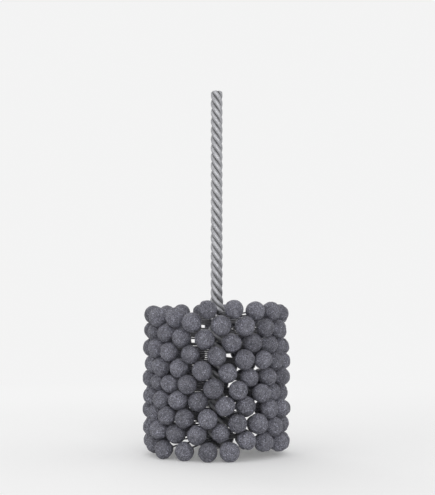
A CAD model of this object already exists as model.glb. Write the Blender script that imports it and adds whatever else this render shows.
from math import acos, atan, cos, exp, log, pi, radians, sin, sqrt

import bmesh
import bpy
import numpy as np
from mathutils import Matrix, Vector, noise


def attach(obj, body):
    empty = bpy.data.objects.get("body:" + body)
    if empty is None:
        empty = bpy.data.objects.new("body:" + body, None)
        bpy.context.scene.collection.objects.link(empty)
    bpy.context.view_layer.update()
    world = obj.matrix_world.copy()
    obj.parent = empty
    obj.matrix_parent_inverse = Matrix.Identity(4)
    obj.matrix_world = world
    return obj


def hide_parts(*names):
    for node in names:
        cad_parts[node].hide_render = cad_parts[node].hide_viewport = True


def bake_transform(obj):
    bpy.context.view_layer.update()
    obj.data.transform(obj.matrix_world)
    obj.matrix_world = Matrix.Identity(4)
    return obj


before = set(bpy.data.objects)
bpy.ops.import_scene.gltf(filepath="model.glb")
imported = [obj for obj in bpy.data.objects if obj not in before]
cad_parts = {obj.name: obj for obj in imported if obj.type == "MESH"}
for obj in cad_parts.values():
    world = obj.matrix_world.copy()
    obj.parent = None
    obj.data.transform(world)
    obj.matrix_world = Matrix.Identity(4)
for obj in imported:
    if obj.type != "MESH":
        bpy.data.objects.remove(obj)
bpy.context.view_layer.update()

# The model's own sizes, in millimetres and degrees
MM = 0.001
OVERALL_LENGTH = 203.2
BRUSH_DIAMETER = 81.7
WIRE_DIAMETER = 2.6
WIRE_SPACING = 2.63
SHANK_LEAD = 20.5
LEAD_CHANGE_LENGTH = 10.0
TIP_OVERHANG = 2.2
SHANK_CHAMFER = 0.4
FILAMENT_DIAMETER = 0.88
FILAMENT_PITCH = 0.93
FILAMENT_COUNT = 79
FILAMENT_STEP = 21.0
FILAMENTS_PER_TURN = 17
FIRST_AZIMUTH = 13.0
FIRST_HEIGHT = 5.3
STRAIGHT_PAST_WIRES = 0.4
GRIP_DISTANCE = 1.79
NECK_LENGTH = 1.1
NECK_RADIUS = 0.85
NECK_SPREAD_ANGLE = 27.0

TIP_HEIGHT = FIRST_HEIGHT - TIP_OVERHANG
LAST_HEIGHT = FIRST_HEIGHT + (FILAMENT_COUNT - 1) * FILAMENT_PITCH
BRUSH_RATE = FILAMENT_STEP / FILAMENT_PITCH
SHANK_RATE = 360 / SHANK_LEAD
TWIST_CHANGE_HEIGHT = LAST_HEIGHT + FILAMENT_DIAMETER

# How finely the places where two wires come closest are searched
SEARCH_STEPS = 48
HALVINGS = 40
WIDEST_SPREAD = 75.0

# Wire meshes: the rings, the length over which they turn level at an end, the rim of a cut, and
# the wear with its scales from wire to wire, round a wire and along it
WIRE_SIDES = 24
RING_SPACING = 0.55
LEVELLING_LENGTH = 1.2
TIP_RINGS = (0.0, 0.15, 0.4, 0.8)
SHANK_RINGS = (1.0, 0.7, 0.4, 0.2, 0.1, 0.0)
TANGENT_STEP = 0.05
CUT_RIM = 0.10
WEAR_DEPTH, WEAR_MIDDLE = 0.012, 0.01
WEAR_SCALES = (7.1, 0.6, 0.35)

# Globule meshes: size and depth of the unevenness, and how far the skin may stand out
SPHERE_SUBDIVISIONS = 5
SWELL_SCALE, SWELL_DEPTH, SWELL_MIDDLE = 0.15, 0.70, 0.10
LUMP_SCALE, LUMP_DEPTH = 0.42, 0.46
KNOB_SCALE, KNOB_DEPTH = 0.9, 0.20
GRAIN_SCALE, GRAIN_DEPTH = 1.5, 0.09
GRAIN_DIMENSION, GRAIN_LACUNARITY, GRAIN_OCTAVES = 0.9, 2.1, 2
PROUDEST, PROUD_EASE = 0.15, 0.04
DIMPLE_RADIUS, DIMPLE_DEPTH = 0.75, 0.16
RIM_GAP = 0.02

# What sets the globules apart in the noise, from filament to filament and from end to end
SPIN = 2.4
LOT_STEP, LOT_OF_END, LOT_DEPTH = 3.7, {"a": 11.3, "b": 47.9}, 5.1
DIMPLE_LOT = 1.7
TONE_LOT = (1.37, 0.11, 0.5)

# A globule's neck: angles from its pole, and how the sphere's points are drawn together there
NECK_CALM, NECK_CALM_START, NECK_CALM_RANGE = 0.35, 0.14, 0.3
NECK_FLARE, NECK_OVERLAP = 2.6, 0.06
DRAWN_REACH, DRAWN_SHARE, DRAWN_POWER = radians(60), 0.42, 1.5

# The outer cap of a solid in which its ball is measured
CAP_DEPTH = 3.0

# Filament meshes: points on the straight part, on the bend, and inside the globule
FILAMENT_SIDES = 12
STRAIGHT_POINTS = 7
BEND_POINTS = 18
TAIL_SHARES = (0.12, 0.3, 0.6, 1.0)
LEAST_TURN = 1e-4
CRUST_LENGTH = 7.0

# Strength of the world as light and as the camera and gloss see it, and the floor and what the
# lamps aim at, in metres
SKY_LIGHT, SKY_SEEN = 0.62, 0.90
LIT_POINT = Vector((0, 0, 0.1))
FLOOR_COLOUR, FLOOR_LIFT = 0.86, 0.16
FLOOR_FADE_START, FLOOR_FADE_END = 0.20, 0.80
FLOOR_REACH = 40.0

# The photograph's camera: 435 by 495 pixels, the stem upright in the middle of the frame
DISTANCE, ELEVATION, CAMERA_AZIMUTH = 520.0, -5.4, 1.0
PIXELS_PER_MM, FRAME_HEIGHT, SENSOR = 1.779, 495, 36.0
AIM = Vector((0.5, 0, 113.9))
UP = Vector((0, 0, 1))


def at(azimuth, radius, height):
    """The point at an azimuth counted from the front, -Y, towards +X."""
    return Vector((radius * sin(radians(azimuth)), -radius * cos(radians(azimuth)), height))


# The stem's geometry


def bisect(too_small, low, high):
    """The value between low and high where too_small turns false."""
    for _ in range(HALVINGS):
        middle = (low + high) / 2
        if too_small(middle):
            low = middle
        else:
            high = middle
    return high


def nearest_strand(radius, phase, rate):
    """How close two helices on one radius come, from their phase angle and their twist per mm."""
    rises = np.linspace(-WIRE_SPACING, WIRE_SPACING, SEARCH_STEPS + 1)
    turned = np.radians(phase + rate * rises)
    return np.sqrt(2 * radius**2 * (1 - np.cos(turned)) + rises**2).min()


def strand_radius(phase, rate):
    """The smallest radius on which two wires at this phase angle and twist clear each other."""
    return bisect(
        lambda radius: nearest_strand(radius, phase, rate) < WIRE_SPACING,
        WIRE_DIAMETER / 2,
        2 * WIRE_DIAMETER,
    )


def nearest_filament(spread):
    """How close a wire's centre line comes to a filament's when it stands spread degrees off it."""
    radius = strand_radius(180 - 2 * spread, BRUSH_RATE)
    rises = np.linspace(0, WIRE_SPACING, SEARCH_STEPS + 1)
    turned = np.radians(spread - BRUSH_RATE * rises)
    return np.sqrt((radius * np.sin(turned)) ** 2 + rises**2).min()


SHANK_SPREAD = 45.0
BRUSH_SPREAD = bisect(
    lambda spread: nearest_filament(spread) < GRIP_DISTANCE, SHANK_SPREAD, WIDEST_SPREAD
)
BRUSH_STRAND_RADIUS = strand_radius(180 - 2 * BRUSH_SPREAD, BRUSH_RATE)
SHANK_RADIUS = strand_radius(180 - 2 * SHANK_SPREAD, SHANK_RATE) + WIRE_DIAMETER / 2
STRAIGHT_RADIUS = BRUSH_STRAND_RADIUS + WIRE_DIAMETER / 2 + STRAIGHT_PAST_WIRES


def eased(height):
    """0 in the brush, 1 in the shank and a smooth step between, with that step's own integral."""
    share = (height - TWIST_CHANGE_HEIGHT) / LEAD_CHANGE_LENGTH
    inside = min(max(share, 0), 1)
    area = inside**3 - inside**4 / 2 + max(share - 1, 0)
    return 3 * inside**2 - 2 * inside**3, area * LEAD_CHANGE_LENGTH


def wire_point(number, height):
    """A point on the centre line of wire 0 to 3."""
    step, area = eased(height)
    turned = BRUSH_RATE * (height - FIRST_HEIGHT) - (BRUSH_RATE - SHANK_RATE) * area
    spread = BRUSH_SPREAD + (SHANK_SPREAD - BRUSH_SPREAD) * step
    rate = BRUSH_RATE + (SHANK_RATE - BRUSH_RATE) * step
    side, half = number % 2, number // 2
    azimuth = FIRST_AZIMUTH - turned + (180 - spread if side else spread) + 180 * half
    return at(azimuth, strand_radius(180 - 2 * spread, rate), height)


# Meshes


def make_object(name, points, faces, uvs=None, values=None):
    """A smooth object from points in millimetres, with a UV per corner and named point values."""
    mesh = bpy.data.meshes.new(name)
    mesh.from_pydata([tuple(c * MM for c in point) for point in points], [], faces)
    if uvs is not None:
        layer = mesh.uv_layers.new(name="Along")
        layer.data.foreach_set("uv", np.asarray(uvs, np.float32).ravel())
    for label, data in (values or {}).items():
        layer = mesh.attributes.new(label, "FLOAT", "POINT")
        layer.data.foreach_set("value", np.asarray(data, np.float32))
    mesh.polygons.foreach_set("use_smooth", [True] * len(mesh.polygons))
    mesh.update()
    piece = bpy.data.objects.new(name, mesh)
    bpy.context.scene.collection.objects.link(piece)
    return piece


def tube_faces(rings, sides, offset):
    """The faces of a closed tube whose points follow each other ring by ring."""
    faces = []
    for ring in range(rings - 1):
        for side in range(sides):
            one, other = ring * sides + side, ring * sides + (side + 1) % sides
            faces.append([offset + i for i in (one, other, other + sides, one + sides)])
    faces.append([offset + i for i in reversed(range(sides))])
    faces.append([offset + (rings - 1) * sides + i for i in range(sides)])
    return faces


def tube_uvs(sides, lengths):
    """UVs for tube_faces: once round the tube across, and its length in millimetres along."""
    uvs = []
    for low, high in zip(lengths, lengths[1:]):
        for side in range(sides):
            one, other = side / sides, (side + 1) / sides
            uvs += [(one, low), (other, low), (other, high), (one, high)]
    angles = [2 * pi * side / sides for side in range(sides)]
    end = [(0.5 + 0.5 * cos(angle), -1 + 0.5 * sin(angle)) for angle in angles]
    return uvs + end[::-1] + end


def inset(ring):
    """A ring just inside the rim of a cut wire's end."""
    middle = sum(ring, Vector()) / len(ring)
    return [point.lerp(middle, CUT_RIM) for point in ring]


def drawn_to_axis(point, limit):
    """Holds a point within a radius of the tool's axis."""
    radius = sqrt(point.x**2 + point.y**2)
    if radius > limit:
        point.x *= limit / radius
        point.y *= limit / radius


def wire_ring(number, height, length):
    """A ring round a wire, level at a cut end, and how far each of its points faces outwards."""
    centre = wire_point(number, height)
    rise = wire_point(number, height + TANGENT_STEP) - wire_point(number, height - TANGENT_STEP)
    tangent = rise.normalized()
    outward = Vector((centre.x, centre.y, 0)).normalized()
    outward = (outward - tangent * outward.dot(tangent)).normalized()
    across = tangent.cross(outward)
    from_end = min(height - TIP_HEIGHT, OVERALL_LENGTH - height)
    level = max(0.0, 1 - from_end / LEVELLING_LENGTH)
    from_wire, from_angle, from_length = WEAR_SCALES
    points, facing = [], []
    for side in range(WIRE_SIDES):
        angle = 2 * pi * side / WIRE_SIDES + pi
        spot = outward * cos(angle) + across * sin(angle)
        lot = Vector((number * from_wire, angle * from_angle, length * from_length))
        worn = noise.noise(lot) * WEAR_DEPTH - WEAR_MIDDLE
        point = centre + spot * (WIRE_DIAMETER / 2 + worn)
        point = point - tangent * ((point.z - centre.z) / tangent.z * level)
        point.z = min(max(point.z, TIP_HEIGHT), OVERALL_LENGTH)
        drawn_to_axis(point, SHANK_RADIUS - SHANK_CHAMFER + OVERALL_LENGTH - point.z)
        points.append(point)
        facing.append(cos(angle))
    return points, facing


def make_wire(number):
    """One stem wire on its helix, with sheared ends, a chamfer at the shank and worn crests."""
    heights = [TIP_HEIGHT + rise for rise in TIP_RINGS]
    first, last = TIP_HEIGHT + LEVELLING_LENGTH, OVERALL_LENGTH - LEVELLING_LENGTH
    heights += list(np.arange(first, last, RING_SPACING))
    heights += [OVERALL_LENGTH - drop for drop in SHANK_RINGS]
    centres = [wire_point(number, height) for height in heights]
    lengths = [0.0]
    for before, centre in zip(centres, centres[1:]):
        lengths.append(lengths[-1] + (centre - before).length)
    points, facing = [], []
    for height, length in zip(heights, lengths):
        ring, ring_facing = wire_ring(number, height, length)
        points += ring
        facing += ring_facing
    points = inset(points[:WIRE_SIDES]) + points + inset(points[-WIRE_SIDES:])
    facing = facing[:WIRE_SIDES] + facing + facing[-WIRE_SIDES:]
    cut = [1.0] * WIRE_SIDES + [0.0] * len(heights) * WIRE_SIDES + [1.0] * WIRE_SIDES
    lengths = [lengths[0] - CUT_RIM] + lengths + [lengths[-1] + CUT_RIM]
    faces = tube_faces(len(lengths), WIRE_SIDES, 0)
    uvs = tube_uvs(WIRE_SIDES, lengths)
    return make_object(f"wire_{number + 1}", points, faces, uvs, {"facing": facing, "cut": cut})


# Globules


def solids_in(node):
    """The points of each separate solid in a node's mesh, in millimetres."""
    mesh = node.data
    spots = np.empty(len(mesh.vertices) * 3)
    mesh.vertices.foreach_get("co", spots)
    spots = spots.reshape(-1, 3) / MM
    _, first, same = np.unique(np.round(spots, 3), axis=0, return_index=True, return_inverse=True)
    same = same.ravel()
    edges = np.empty(len(mesh.edges) * 2, np.int32)
    mesh.edges.foreach_get("vertices", edges)
    one, other = same[edges.reshape(-1, 2)].T
    label = np.arange(len(first))
    while True:
        low = np.minimum(label[one], label[other])
        new = label.copy()
        np.minimum.at(new, one, low)
        np.minimum.at(new, other, low)
        new = new[new]
        if (new == label).all():
            break
        label = new
    return [spots[first[label == found]] for found in np.unique(label)]


def ball_in(points):
    """Centre and radius of the ball whose outer cap these points hold."""
    out = np.hypot(points[:, 0], points[:, 1])
    cap = points[out > out.max() - CAP_DEPTH]
    sums = np.c_[2 * cap, np.ones(len(cap))]
    x, y, z, rest = np.linalg.lstsq(sums, (cap**2).sum(1), rcond=None)[0]
    return Vector((x, y, z)), sqrt(rest + x * x + y * y + z * z)


class Globule:
    """A globule with its filament's number, its place, and how its filament comes to it."""

    def __init__(self, filament, end, centre, radius):
        self.filament, self.end, self.centre, self.radius = filament, end, centre, radius
        self.azimuth = FIRST_AZIMUTH - filament * FILAMENT_STEP + (180 if end == "b" else 0)
        self.height = FIRST_HEIGHT + filament * FILAMENT_PITCH
        outward = at(self.azimuth, 1, 0)
        tail = radius + NECK_LENGTH
        # The filament leaves the stem at start, bends up to bend, and runs along course from there
        self.start = at(self.azimuth, STRAIGHT_RADIUS, self.height)
        along = (centre - self.start).dot(outward)
        aside = centre - self.start - outward * along
        turn = 2 * atan(aside.length / (along + tail))
        self.course = outward * cos(turn) + aside.normalized() * sin(turn)
        self.bend = centre - self.course * tail


def columns():
    """Each column's name, and its globules from the tip up."""
    found = {}
    for group in range(FILAMENTS_PER_TURN):
        for end in "ab":
            name = f"{group + 1:02}_{end}"
            solids = solids_in(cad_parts[f"globules_{name}"])
            balls = sorted(map(ball_in, solids), key=lambda ball: ball[0].z)
            found[name] = [
                Globule(group + FILAMENTS_PER_TURN * index, end, centre, radius)
                for index, (centre, radius) in enumerate(balls)
            ]
    return found


def drawn_together(angle):
    """An angle from the pole, made smaller near it, so that the neck gets more points."""
    if angle > DRAWN_REACH:
        return angle
    return angle * (DRAWN_SHARE + (1 - DRAWN_SHARE) * (angle / DRAWN_REACH) ** DRAWN_POWER)


def drawn_sphere():
    """Directions all round with their angles from the neck's pole, +Z, and the faces they make."""
    bm = bmesh.new()
    bmesh.ops.create_icosphere(bm, subdivisions=SPHERE_SUBDIVISIONS, radius=1.0)
    directions = []
    for vertex in bm.verts:
        x, y, z = vertex.co
        angle = drawn_together(acos(max(-1.0, min(1.0, z))))
        direction = Vector((x, y, 0)).normalized() * sin(angle) + UP * cos(angle)
        directions.append((direction, angle))
    faces = [[vertex.index for vertex in face.verts] for face in bm.faces]
    bm.free()
    return directions, faces


DIRECTIONS, SPHERE_FACES = drawn_sphere()


def profile(angle, radius):
    """Distance from the plain globule's middle to its skin, at an angle from the neck."""
    rim = atan(NECK_RADIUS / (radius + NECK_LENGTH))
    spread = radians(NECK_SPREAD_ANGLE)
    if angle < rim:
        return (radius + NECK_LENGTH) / cos(angle)
    if angle > spread:
        return radius
    share = (spread - angle) / (spread - rim)
    return radius + (NECK_LENGTH + NECK_OVERLAP) * share**NECK_FLARE


def kept_under(value, limit, softness):
    """The value, eased off so that it never passes the limit."""
    return limit - softness * log(1 + exp((limit - value) / softness))


def kept_in(point):
    """Holds a point inside the brush's outer diameter, over the floor and under the brush's top."""
    drawn_to_axis(point, BRUSH_DIAMETER / 2 - RIM_GAP)
    point.z = min(max(point.z, 0.0), LAST_HEIGHT + FIRST_HEIGHT)
    return point


def globule_points(globule):
    """An uneven globule with its neck, and how deep each point lies in its far end's dimple."""
    seed = Vector((globule.filament * LOT_STEP, LOT_OF_END[globule.end], LOT_DEPTH))
    neck = -globule.course
    side = neck.cross(UP).normalized()
    turn = Matrix((side, neck.cross(side), neck)).transposed()
    turn = turn @ Matrix.Rotation(globule.filament * SPIN, 3, "Z")
    dimple = 0.5 + 0.5 * noise.noise(seed * DIMPLE_LOT)
    points, pole = [], []
    for direction, angle in DIRECTIONS:
        place = direction * globule.radius
        proud = noise.noise(place * SWELL_SCALE + seed * 3) * SWELL_DEPTH + SWELL_MIDDLE
        proud += noise.noise(place * LUMP_SCALE + seed) * LUMP_DEPTH
        proud += noise.noise(place * KNOB_SCALE + seed * 2) * KNOB_DEPTH
        grains = place * GRAIN_SCALE + seed
        proud += GRAIN_DEPTH * noise.fractal(
            grains, GRAIN_DIMENSION, GRAIN_LACUNARITY, GRAIN_OCTAVES
        )
        calm = min(1, max(0, (angle - NECK_CALM_START) / NECK_CALM_RANGE))
        held = NECK_CALM + (1 - NECK_CALM) * calm
        from_end = (pi - angle) * globule.radius / DIMPLE_RADIUS
        mark = dimple * exp(-from_end * from_end)
        reach = profile(angle, globule.radius) + kept_under(proud, PROUDEST, PROUD_EASE) * held
        reach -= DIMPLE_DEPTH * mark
        points.append(kept_in(globule.centre + turn @ (direction * reach)))
        pole.append(mark)
    return points, pole


def make_globules(name, column):
    """One column's globules, each with its own tone."""
    points, faces, tone, pole = [], [], [], []
    for globule in column:
        faces += [[len(points) + i for i in face] for face in SPHERE_FACES]
        skin, marks = globule_points(globule)
        points += skin
        pole += marks
        lot = Vector((globule.filament, globule.azimuth, 1)) * Vector(TONE_LOT)
        tone += [noise.noise(lot)] * len(skin)
    values = {"tone": tone, "pole": pole}
    return make_object(f"globules_dressed_{name}", points, faces, values=values)


# Filaments


def filament_line(globule):
    """Points from the stem's middle out to the globule's middle."""
    outward = at(globule.azimuth, 1, 0)
    radii = np.linspace(0, STRAIGHT_RADIUS, STRAIGHT_POINTS)
    line = [at(globule.azimuth, radius, globule.height) for radius in radii]
    turn = outward.angle(globule.course, 0.0)
    shares = np.linspace(0, 1, BEND_POINTS + 1)[1:]
    if turn > LEAST_TURN:
        aside = (globule.course - outward * globule.course.dot(outward)).normalized()
        bow = (globule.bend - globule.start).length / (2 * sin(turn / 2))
        for part in turn * shares:
            line.append(globule.start + (outward * sin(part) + aside * (1 - cos(part))) * bow)
    else:
        line += [globule.start.lerp(globule.bend, share) for share in shares]
    return line + [globule.bend.lerp(globule.centre, share) for share in TAIL_SHARES]


def make_filaments(name, column):
    """One column's filaments, from the stem's middle into their globules."""
    points, faces, uvs, coat = [], [], [], []
    for globule in column:
        line = filament_line(globule)
        faces += tube_faces(len(line), FILAMENT_SIDES, len(points))
        lengths = [0.0]
        for before, spot in zip(line, line[1:]):
            lengths.append(lengths[-1] + (spot - before).length)
        to_neck = lengths[-1] - globule.radius - NECK_LENGTH
        for index, spot in enumerate(line):
            before, after = line[max(index - 1, 0)], line[min(index + 1, len(line) - 1)]
            tangent = (after - before).normalized()
            across = tangent.cross(UP).normalized()
            up = across.cross(tangent)
            for side in range(FILAMENT_SIDES):
                angle = 2 * pi * side / FILAMENT_SIDES
                spoke = across * cos(angle) + up * sin(angle)
                points.append(spot + spoke * FILAMENT_DIAMETER / 2)
            crust = max(0.0, 1 - (to_neck - lengths[index]) / CRUST_LENGTH)
            coat += [crust] * FILAMENT_SIDES
        uvs += tube_uvs(FILAMENT_SIDES, lengths)
    return make_object(f"filaments_dressed_{name}", points, faces, uvs, {"coat": coat})


# Materials. Scales are in features per metre on the object's own coordinates, and in features per
# turn round a wire and per millimetre along it on the "Along" UVs. Bump distances are in metres.


# The Mix node's colour sockets, whose names are also those of its other kinds of socket
MIX_ONE, MIX_OTHER, MIX_RESULT = 6, 7, 2


class Nodes:
    """Short calls for building a node tree."""

    def __init__(self, tree):
        self.tree = tree

    def add(self, kind, **settings):
        """A new node with some of its settings."""
        node = self.tree.nodes.new(kind)
        for key, value in settings.items():
            setattr(node, key, value)
        return node

    def put(self, value, socket):
        """A link to a socket from another one, or a plain value set on it."""
        if isinstance(value, bpy.types.NodeSocket):
            self.tree.links.new(value, socket)
        else:
            socket.default_value = value

    def coordinates(self, kind="Object"):
        """The object's own coordinates, or its UVs."""
        return self.add("ShaderNodeTexCoord").outputs[kind]

    def value(self, name):
        """A mesh's named point value."""
        return self.add("ShaderNodeAttribute", attribute_name=name).outputs["Fac"]

    def seen(self):
        """1 for rays from the camera or from a glossy surface, and 0 for all others."""
        outputs = self.add("ShaderNodeLightPath").outputs
        return self.math("MAXIMUM", outputs["Is Camera Ray"], outputs["Is Glossy Ray"])

    def scaled(self, vector, scale):
        """Coordinates with a scale for each direction."""
        node = self.add("ShaderNodeMapping")
        self.put(vector, node.inputs["Vector"])
        self.put(scale, node.inputs["Scale"])
        return node.outputs["Vector"]

    def noise(self, vector, scale=1.0, detail=2.0, roughness=0.5, distortion=0.0):
        """Noise between 0 and 1."""
        node = self.add("ShaderNodeTexNoise")
        self.put(vector, node.inputs["Vector"])
        self.put(scale, node.inputs["Scale"])
        self.put(detail, node.inputs["Detail"])
        self.put(roughness, node.inputs["Roughness"])
        self.put(distortion, node.inputs["Distortion"])
        return node.outputs["Fac"]

    def scattered(self, vector, scale):
        """Distance from the nearest of many scattered points, and that point's random number."""
        node = self.add("ShaderNodeTexVoronoi", feature="F1")
        self.put(vector, node.inputs["Vector"])
        self.put(scale, node.inputs["Scale"])
        split = self.add("ShaderNodeSeparateColor")
        self.put(node.outputs["Color"], split.inputs["Color"])
        return node.outputs["Distance"], split.outputs["Red"]

    def frayed(self, vector, scale, reach):
        """Coordinates pushed about by fine noise, so that grains lose their straight edges."""
        node = self.add("ShaderNodeTexNoise")
        self.put(vector, node.inputs["Vector"])
        self.put(scale, node.inputs["Scale"])
        shift = self.add("ShaderNodeVectorMath", operation="MULTIPLY_ADD")
        self.put(node.outputs["Color"], shift.inputs[0])
        self.put((reach, reach, reach), shift.inputs[1])
        self.put(vector, shift.inputs[2])
        return shift.outputs["Vector"]

    def grey(self, value):
        """A value as a colour."""
        node = self.add("ShaderNodeCombineColor")
        for label in ("Red", "Green", "Blue"):
            self.put(value, node.inputs[label])
        return node.outputs["Color"]

    def ramp(self, factor, *stops):
        """A colour from stops, each a place and a colour or a grey."""
        node = self.add("ShaderNodeValToRGB")
        self.put(factor, node.inputs["Fac"])
        elements = node.color_ramp.elements
        while len(elements) < len(stops):
            elements.new(0.5)
        for element, (place, colour) in zip(elements, stops):
            element.position = place
            element.color = (*(colour if isinstance(colour, tuple) else [colour] * 3), 1)
        return node.outputs["Color"]

    def span(self, value, low, high, to_low, to_high, smooth=False):
        """A value between low and high, carried over to between to_low and to_high."""
        node = self.add("ShaderNodeMapRange")
        node.interpolation_type = "SMOOTHSTEP" if smooth else "LINEAR"
        self.put(value, node.inputs["Value"])
        labels = ("From Min", "From Max", "To Min", "To Max")
        for label, number in zip(labels, (low, high, to_low, to_high)):
            self.put(number, node.inputs[label])
        return node.outputs["Result"]

    def math(self, operation, one, other):
        """The result of two values."""
        node = self.add("ShaderNodeMath", operation=operation)
        self.put(one, node.inputs[0])
        self.put(other, node.inputs[1])
        return node.outputs[0]

    def times(self, one, other):
        """Two values multiplied."""
        return self.math("MULTIPLY", one, other)

    def mix(self, factor, one, other, blend="MIX"):
        """Two colours mixed."""
        node = self.add("ShaderNodeMix", data_type="RGBA", blend_type=blend)
        self.put(factor, node.inputs["Factor"])
        for colour, socket in ((one, MIX_ONE), (other, MIX_OTHER)):
            self.put((*colour, 1) if isinstance(colour, tuple) else colour, node.inputs[socket])
        return node.outputs[MIX_RESULT]

    def shaded(self, colour, shade):
        """A colour multiplied by another."""
        return self.mix(1.0, colour, shade, "MULTIPLY")

    def bump(self, height, distance, strength, normal=None):
        """A bumped normal, over another one where that is given."""
        node = self.add("ShaderNodeBump")
        self.put(height, node.inputs["Height"])
        self.put(distance, node.inputs["Distance"])
        self.put(strength, node.inputs["Strength"])
        if normal is not None:
            self.put(normal, node.inputs["Normal"])
        return node.outputs["Normal"]


def new_material(name):
    """A new material, its node calls and its shader's inputs."""
    material = bpy.data.materials.new(name)
    material.use_nodes = True
    tree = material.node_tree
    return material, Nodes(tree), tree.nodes["Principled BSDF"].inputs


def abrasive_material():
    """Dark grey grit in resin: fine grains, sparse bright chips, pores and powdery blotches."""
    material, n, shader = new_material("abrasive_globule")
    place = n.coordinates()
    tone, pole = n.value("tone"), n.value("pole")
    frayed = n.frayed(place, 2200, 0.00022)

    # Resin that drifts in tone, clumps of grit in it, and the single grains
    drift = n.noise(place, 260, 3, 0.6)
    dark, middle, pale = (0.084, 0.084, 0.103), (0.116, 0.116, 0.141), (0.154, 0.154, 0.185)
    body = n.ramp(drift, (0.30, dark), (0.52, middle), (0.74, pale))
    clumps = n.noise(place, 1250, 3, 0.65)
    body = n.shaded(
        body, n.ramp(clumps, (0.32, 0.62), (0.46, 0.90), (0.54, 1.10), (0.59, 1.40), (0.65, 2.5))
    )
    grain, pick = n.scattered(frayed, 5600)
    body = n.shaded(body, n.ramp(pick, (0.0, 0.45), (0.45, 0.88), (0.82, 1.25), (0.96, 2.9)))

    # A few larger chips, powder that lies in blotches, and pores
    chip, chosen = n.scattered(frayed, 2300)
    chips = n.times(n.span(chip, 0.22, 0.34, 1, 0), n.span(chosen, 0.84, 0.90, 0, 1))
    body = n.mix(n.times(chips, 0.75), body, (0.27, 0.27, 0.30))
    blotches = n.span(n.noise(place, 620, 4, 0.62), 0.50, 0.64, 0, 1)
    powder = n.times(blotches, n.span(pick, 0.2, 0.9, 0.3, 0.75))
    body = n.mix(powder, body, (0.225, 0.225, 0.255))
    hole, _ = n.scattered(frayed, 1500)
    pores = n.times(n.span(hole, 0.10, 0.24, 1, 0), n.span(drift, 0.35, 0.6, 1.0, 0.35))
    body = n.mix(n.times(pores, 0.65), body, (0.030, 0.030, 0.037))

    # The dimple is darker, and each globule has its own tone
    body = n.mix(n.times(pole, 0.35), body, (0.045, 0.045, 0.054))
    body = n.shaded(body, n.grey(n.span(tone, -0.6, 0.6, 0.80, 1.22)))
    n.put(body, shader["Base Color"])
    n.put(n.span(n.math("MAXIMUM", pick, chips), 0, 1, 0.88, 0.42), shader["Roughness"])
    n.put(0.6, shader["Specular IOR Level"])

    normal = n.bump(n.noise(place, 950, 4, 0.65), 0.00050, 0.9)
    normal = n.bump(pores, -0.00016, 0.8, normal)
    normal = n.bump(chips, 0.00010, 0.8, normal)
    normal = n.bump(grain, -0.00012, 0.9, normal)
    normal = n.bump(n.noise(place, 9000, 2, 0.6), 0.00005, 0.7, normal)
    n.put(normal, shader["Normal"])
    return material


def nylon_material():
    """Dark nylon line: drawn streaks, a dusting of grit, and a crust of grit near the globule."""
    material, n, shader = new_material("nylon_filament")
    along, place = n.coordinates("UV"), n.coordinates()

    # The drawn line and the dust on it
    streak = n.noise(n.scaled(along, (14, 0.12, 1)), detail=3, roughness=0.6)
    body = n.ramp(streak, (0.3, (0.036, 0.036, 0.041)), (0.7, (0.070, 0.070, 0.079)))
    dust = n.span(n.noise(place, 2200, 4, 0.7), 0.50, 0.66, 0, 0.7)
    body = n.mix(dust, body, (0.150, 0.150, 0.168))

    # The crust, with a ragged edge
    smear = n.noise(n.scaled(along, (3, 0.9, 1)), detail=4, roughness=0.7)
    cover = n.span(n.math("ADD", n.value("coat"), smear), 1.02, 1.14, 0, 1)
    speck, pick = n.scattered(place, 4200)
    dark, middle, pale = (0.052, 0.052, 0.064), (0.105, 0.105, 0.125), (0.23, 0.23, 0.26)
    crust = n.ramp(pick, (0.0, dark), (0.6, middle), (0.95, pale))
    n.put(n.mix(cover, body, crust), shader["Base Color"])
    roughness = n.math("ADD", n.span(cover, 0, 1, 0.34, 0.82), n.times(dust, 0.2))
    n.put(roughness, shader["Roughness"])
    n.put(0.5, shader["Specular IOR Level"])

    normal = n.bump(streak, 0.00002, 0.5)
    normal = n.bump(n.times(cover, speck), -0.00016, 0.9, normal)
    normal = n.bump(dust, 0.00003, 0.6, normal)
    n.put(normal, shader["Normal"])
    return material


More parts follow.
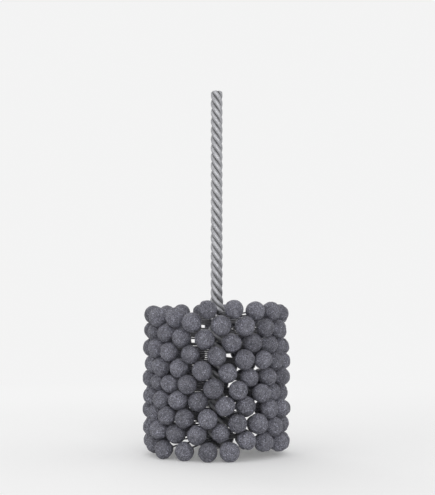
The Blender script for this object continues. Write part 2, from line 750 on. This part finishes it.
def zinc_material():
    """Drawn, zinc-plated wire: matt patches, die lines, rubbed crowns, dust and dirty grooves."""
    material, n, shader = new_material("zinc_plated_wire")
    along, place = n.coordinates("UV"), n.coordinates()
    facing, cut = n.value("facing"), n.value("cut")

    # Plating in patches, with the lines of the drawing die and a fine spangle
    drawn = n.noise(n.scaled(along, (34, 0.10, 1)), detail=4, roughness=0.65)
    patch = n.noise(n.scaled(along, (2.4, 0.30, 1)), detail=5, roughness=0.65, distortion=0.5)
    spangle = n.noise(n.frayed(place, 900, 0.0006), 1500, 4, 0.7)
    dark, middle, pale = (0.365, 0.368, 0.386), (0.45, 0.453, 0.471), (0.545, 0.548, 0.563)
    metal = n.ramp(patch, (0.32, dark), (0.52, middle), (0.70, pale))
    metal = n.shaded(metal, n.ramp(drawn, (0.28, 0.74), (0.48, 0.98), (0.62, 1.06), (0.8, 1.16)))
    metal = n.shaded(metal, n.ramp(spangle, (0.30, 0.74), (0.50, 1.0), (0.68, 1.20)))

    # Bright scratches where the wire faces outwards
    scratch = n.noise(n.scaled(along, (60, 0.9, 1)), detail=2, roughness=0.8, distortion=1.2)
    worn = n.times(n.span(scratch, 0.60, 0.70, 0, 1), n.span(facing, 0.1, 0.8, 0, 1))
    metal = n.mix(n.times(worn, 0.55), metal, (0.70, 0.70, 0.71))

    # Dirt in the grooves and in specks
    depth = n.math("ADD", facing, n.times(n.math("SUBTRACT", patch, 0.5), 0.9))
    grime = n.times(n.ramp(depth, (0.0, 1.0), (0.50, 0.0)), 0.78)
    speck = n.span(n.noise(place, 2600, 3, 0.7), 0.60, 0.70, 0, 0.8)
    specks = n.times(speck, n.span(depth, 0.3, 1.2, 1, 0.35))
    dirt = n.math("MAXIMUM", grime, specks)
    metal = n.mix(dirt, metal, (0.270, 0.269, 0.272))

    # Grit dust in the brush, which ends just above it
    height = n.add("ShaderNodeSeparateXYZ")
    n.put(place, height.inputs["Vector"])
    in_brush = n.span(height.outputs["Z"], 0.072, 0.092, 0.55, 0)
    dusty = n.times(in_brush, n.span(spangle, 0.40, 0.56, 0, 1))
    metal = n.mix(dusty, metal, (0.15, 0.15, 0.17))

    # Bare sheared steel on the cut ends
    sheared = n.noise(n.scaled(place, (9000, 1800, 1800)), detail=4, roughness=0.65, distortion=0.6)
    dark, middle, pale = (0.22, 0.216, 0.212), (0.33, 0.326, 0.322), (0.45, 0.446, 0.442)
    steel = n.ramp(sheared, (0.30, dark), (0.52, middle), (0.72, pale))
    n.put(n.mix(cut, metal, steel), shader["Base Color"])
    n.put(n.span(n.math("MAXIMUM", dirt, dusty), 0.1, 0.9, 1.0, 0.40), shader["Metallic"])
    rough = n.math(
        "ADD", n.span(patch, 0.3, 0.7, 0.50, 0.66), n.span(spangle, 0.3, 0.7, -0.06, 0.08)
    )
    rough = n.math("SUBTRACT", rough, n.times(worn, 0.15))
    n.put(n.math("ADD", rough, n.times(dirt, 0.25)), shader["Roughness"])

    dents = n.noise(n.scaled(along, (5, 0.8, 1)), detail=3, roughness=0.6)
    normal = n.bump(drawn, 0.00006, 0.5)
    normal = n.bump(spangle, 0.00008, 0.5, normal)
    normal = n.bump(dents, 0.00022, 0.35, normal)
    normal = n.bump(n.times(sheared, cut), 0.00012, 0.8, normal)
    n.put(normal, shader["Normal"])
    return material


def floor_material():
    """A pale floor that goes over into the backdrop's own paleness with its distance."""
    material, n, shader = new_material("pale_floor")
    place = n.coordinates()
    from_tool = n.add("ShaderNodeVectorMath", operation="LENGTH")
    n.put(place, from_tool.inputs[0])
    far = n.span(from_tool.outputs["Value"], FLOOR_FADE_START, FLOOR_FADE_END, 0, 1, smooth=True)
    mottle = n.span(n.noise(place, 3.0, 2, 0.5), 0.3, 0.7, 0.985, 1.0)
    pale = n.times(n.times(mottle, FLOOR_COLOUR), n.math("SUBTRACT", 1.0, far))
    n.put(n.grey(pale), shader["Base Color"])
    n.put(0.7, shader["Roughness"])
    n.put(0.0, shader["Specular IOR Level"])
    n.put((1, 1, 1, 1), shader["Emission Color"])
    lift = n.span(far, 0, 1, FLOOR_LIFT, SKY_SEEN)
    n.put(n.times(lift, n.seen()), shader["Emission Strength"])
    return material


# The tool

zinc, nylon, abrasive = zinc_material(), nylon_material(), abrasive_material()

for wire_number in range(4):
    wire = make_wire(wire_number)
    wire.data.materials.append(zinc)
    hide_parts(f"stem_wire_{wire_number + 1}")
    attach(wire, "stem")

for column_name, column in columns().items():
    balls = make_globules(column_name, column)
    balls.data.materials.append(abrasive)
    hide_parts(f"globules_{column_name}")
    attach(balls, f"column_{column_name}")

    strands = make_filaments(column_name, column)
    strands.data.materials.append(nylon)
    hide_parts(f"filaments_{column_name[:2]}")
    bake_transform(strands)

# The stage, the light and the camera

reach = FLOOR_REACH / MM
corners = [(-reach, -reach, 0), (reach, -reach, 0), (reach, reach, 0), (-reach, reach, 0)]
floor = make_object("floor", corners, [[0, 1, 2, 3]])
floor.data.materials.append(floor_material())


def softbox(name, place, size, power):
    """A square lamp aimed at the middle of the tool."""
    light = bpy.data.lights.new(name, "AREA")
    light.shape = "SQUARE"
    light.size = size
    light.energy = power
    lamp = bpy.data.objects.new(name, light)
    bpy.context.scene.collection.objects.link(lamp)
    lamp.location = place
    course = LIT_POINT - Vector(place)
    lamp.rotation_euler = course.to_track_quat("-Z", "Y").to_euler()


softbox("key", (0.3, -1.65, 0.45), size=0.9, power=10.5)
softbox("fill", (-0.9, -1.3, 0.4), size=1.2, power=4)
softbox("back", (-0.4, 1.4, 0.9), size=1.2, power=7)

world = bpy.data.worlds.new("studio")
world.use_nodes = True
bpy.context.scene.world = world
sky = Nodes(world.node_tree)
background = world.node_tree.nodes["Background"].inputs
sky.put(sky.span(sky.seen(), 0, 1, SKY_LIGHT, SKY_SEEN), background["Strength"])
sky.put((1, 1, 1, 1), background["Color"])

camera_data = bpy.data.cameras.new("camera")
camera_data.sensor_fit = "VERTICAL"
camera_data.sensor_height = SENSOR
camera_data.lens = PIXELS_PER_MM * DISTANCE * SENSOR / FRAME_HEIGHT
camera_data.clip_start = 0.01
camera_data.clip_end = 100
camera = bpy.data.objects.new("camera", camera_data)
bpy.context.scene.collection.objects.link(camera)
backward = at(CAMERA_AZIMUTH, cos(radians(ELEVATION)), sin(radians(ELEVATION)))
camera.location = (AIM + backward * DISTANCE) * MM
camera.rotation_euler = (-backward).to_track_quat("-Z", "Y").to_euler()
bpy.context.scene.camera = camera
bpy.context.scene.view_settings.view_transform = "Standard"
